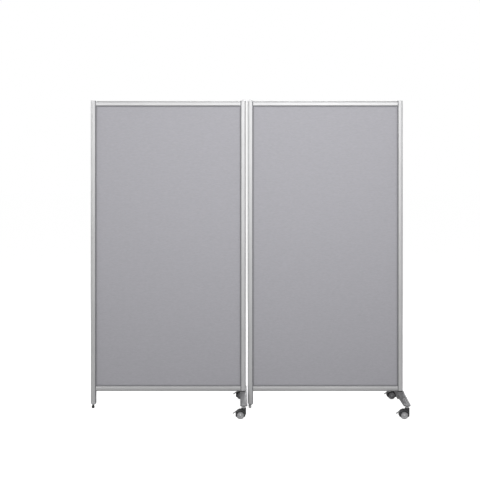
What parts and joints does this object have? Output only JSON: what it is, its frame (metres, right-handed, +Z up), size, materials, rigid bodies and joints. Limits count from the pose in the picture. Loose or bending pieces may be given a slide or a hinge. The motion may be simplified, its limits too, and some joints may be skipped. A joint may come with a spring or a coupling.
{
  "type": "partition wall",
  "caption": "Mobile partition wall of linked flat panels in rounded metal frames, each on a levelling glide and a cast foot with braked swivel castors.",
  "frame": {"origin": "on the floor at the middle of the wall's length and depth", "axes": "+X along the wall from module a to module b, +Y to the rear, +Z up"},
  "size_m": [2.0186, 0.53, 1.9888],
  "materials": {
    "frame": "satin",
    "core": "matte",
    "cover": "matte",
    "gasket": "matte",
    "block": "matte",
    "steel": "satin",
    "cap": "satin",
    "insert": "matte",
    "glide": "matte",
    "glide_grey": "matte",
    "casting": "satin",
    "chrome": "polished",
    "hood": "satin",
    "pedal": "satin",
    "wheel": "satin"
  },
  "bodies": {
    "module_a": {"a_left_post": "frame", "a_right_post": "frame", "a_top_rail": "frame", "a_bottom_rail": "frame", "a_core_board": "core", "a_front_cover": "cover", "a_rear_cover": "cover", "a_gaskets": "gasket", "a_corner_blocks": "block", "a_corner_screws": "steel", "a_top_caps": "cap", "a_leg_cap": "cap", "a_foot_casting": "casting", "a_foot_insert": "insert", "a_foot_bolt": "steel", "a_front_stem": "chrome", "a_rear_stem": "chrome", "top_link": "steel", "cap_screw": "steel", "bottom_link": "steel"},
    "module_b": {"b_left_post": "frame", "b_right_post": "frame", "b_top_rail": "frame", "b_bottom_rail": "frame", "b_core_board": "core", "b_front_cover": "cover", "b_rear_cover": "cover", "b_gaskets": "gasket", "b_corner_blocks": "block", "b_corner_screws": "steel", "b_top_caps": "cap", "b_leg_cap": "cap", "b_foot_casting": "casting", "b_foot_insert": "insert", "b_foot_bolt": "steel", "b_front_stem": "chrome", "b_rear_stem": "chrome", "hinge_pin": "steel"},
    "glide_a": {"a_glide": "glide"},
    "swivel_a_front": {"a_front_hood": "hood", "a_front_axle": "chrome"},
    "pedal_a_front": {"a_front_pedal": "pedal"},
    "wheel_a_front_right": {"a_front_right_wheel": "wheel"},
    "wheel_a_front_left": {"a_front_left_wheel": "wheel"},
    "swivel_a_rear": {"a_rear_hood": "hood", "a_rear_axle": "chrome"},
    "pedal_a_rear": {"a_rear_pedal": "pedal"},
    "wheel_a_rear_right": {"a_rear_right_wheel": "wheel"},
    "wheel_a_rear_left": {"a_rear_left_wheel": "wheel"},
    "glide_b": {"b_glide": "glide_grey"},
    "swivel_b_front": {"b_front_hood": "hood", "b_front_axle": "chrome"},
    "pedal_b_front": {"b_front_pedal": "pedal"},
    "wheel_b_front_right": {"b_front_right_wheel": "wheel"},
    "wheel_b_front_left": {"b_front_left_wheel": "wheel"},
    "swivel_b_rear": {"b_rear_hood": "hood", "b_rear_axle": "chrome"},
    "pedal_b_rear": {"b_rear_pedal": "pedal"},
    "wheel_b_rear_right": {"b_rear_right_wheel": "wheel"},
    "wheel_b_rear_left": {"b_rear_left_wheel": "wheel"}
  },
  "joints": [
    {"name": "panel_hinge", "type": "hinge", "parent": "module_a", "child": "module_b", "pos_m": [0.01775, 0, 0.5], "axis": [0, 0, 1], "range_deg": [-105, 105]},
    {"name": "glide_a_level", "type": "slide", "parent": "module_a", "child": "glide_a", "axis": [0, 0, 1], "range_m": [-0.012, 0.001]},
    {"name": "a_front_swivel", "type": "hinge", "parent": "module_a", "child": "swivel_a_front", "pos_m": [-0.02425, -0.24, 0.06], "axis": [0, 0, 1], "continuous": true},
    {"name": "a_front_pedal_tip", "type": "hinge", "parent": "swivel_a_front", "child": "pedal_a_front", "pos_m": [-0.07344, -0.24, 0.04185], "axis": [0, -1, 0], "range_deg": [0, 12]},
    {"name": "a_front_right_roll", "type": "hinge", "parent": "swivel_a_front", "child": "wheel_a_front_right", "pos_m": [-0.04425, -0.24, 0.025], "axis": [0, 1, 0], "continuous": true},
    {"name": "a_front_left_roll", "type": "hinge", "parent": "swivel_a_front", "child": "wheel_a_front_left", "pos_m": [-0.04425, -0.24, 0.025], "axis": [0, 1, 0], "continuous": true},
    {"name": "a_rear_swivel", "type": "hinge", "parent": "module_a", "child": "swivel_a_rear", "pos_m": [-0.02425, 0.24, 0.06], "axis": [0, 0, 1], "continuous": true},
    {"name": "a_rear_pedal_tip", "type": "hinge", "parent": "swivel_a_rear", "child": "pedal_a_rear", "pos_m": [-0.07344, 0.24, 0.04185], "axis": [0, -1, 0], "range_deg": [0, 12]},
    {"name": "a_rear_right_roll", "type": "hinge", "parent": "swivel_a_rear", "child": "wheel_a_rear_right", "pos_m": [-0.04425, 0.24, 0.025], "axis": [0, 1, 0], "continuous": true},
    {"name": "a_rear_left_roll", "type": "hinge", "parent": "swivel_a_rear", "child": "wheel_a_rear_left", "pos_m": [-0.04425, 0.24, 0.025], "axis": [0, 1, 0], "continuous": true},
    {"name": "glide_b_level", "type": "slide", "parent": "module_b", "child": "glide_b", "axis": [0, 0, 1], "range_m": [-0.012, 0.001]},
    {"name": "b_front_swivel", "type": "hinge", "parent": "module_b", "child": "swivel_b_front", "pos_m": [0.98775, -0.24, 0.06], "axis": [0, 0, 1], "continuous": true},
    {"name": "b_front_pedal_tip", "type": "hinge", "parent": "swivel_b_front", "child": "pedal_b_front", "pos_m": [0.93856, -0.24, 0.04185], "axis": [0, -1, 0], "range_deg": [0, 12]},
    {"name": "b_front_right_roll", "type": "hinge", "parent": "swivel_b_front", "child": "wheel_b_front_right", "pos_m": [0.96775, -0.24, 0.025], "axis": [0, 1, 0], "continuous": true},
    {"name": "b_front_left_roll", "type": "hinge", "parent": "swivel_b_front", "child": "wheel_b_front_left", "pos_m": [0.96775, -0.24, 0.025], "axis": [0, 1, 0], "continuous": true},
    {"name": "b_rear_swivel", "type": "hinge", "parent": "module_b", "child": "swivel_b_rear", "pos_m": [0.98775, 0.24, 0.06], "axis": [0, 0, 1], "continuous": true},
    {"name": "b_rear_pedal_tip", "type": "hinge", "parent": "swivel_b_rear", "child": "pedal_b_rear", "pos_m": [0.93856, 0.24, 0.04185], "axis": [0, -1, 0], "range_deg": [0, 12]},
    {"name": "b_rear_right_roll", "type": "hinge", "parent": "swivel_b_rear", "child": "wheel_b_rear_right", "pos_m": [0.96775, 0.24, 0.025], "axis": [0, 1, 0], "continuous": true},
    {"name": "b_rear_left_roll", "type": "hinge", "parent": "swivel_b_rear", "child": "wheel_b_rear_left", "pos_m": [0.96775, 0.24, 0.025], "axis": [0, 1, 0], "continuous": true}
  ]
}
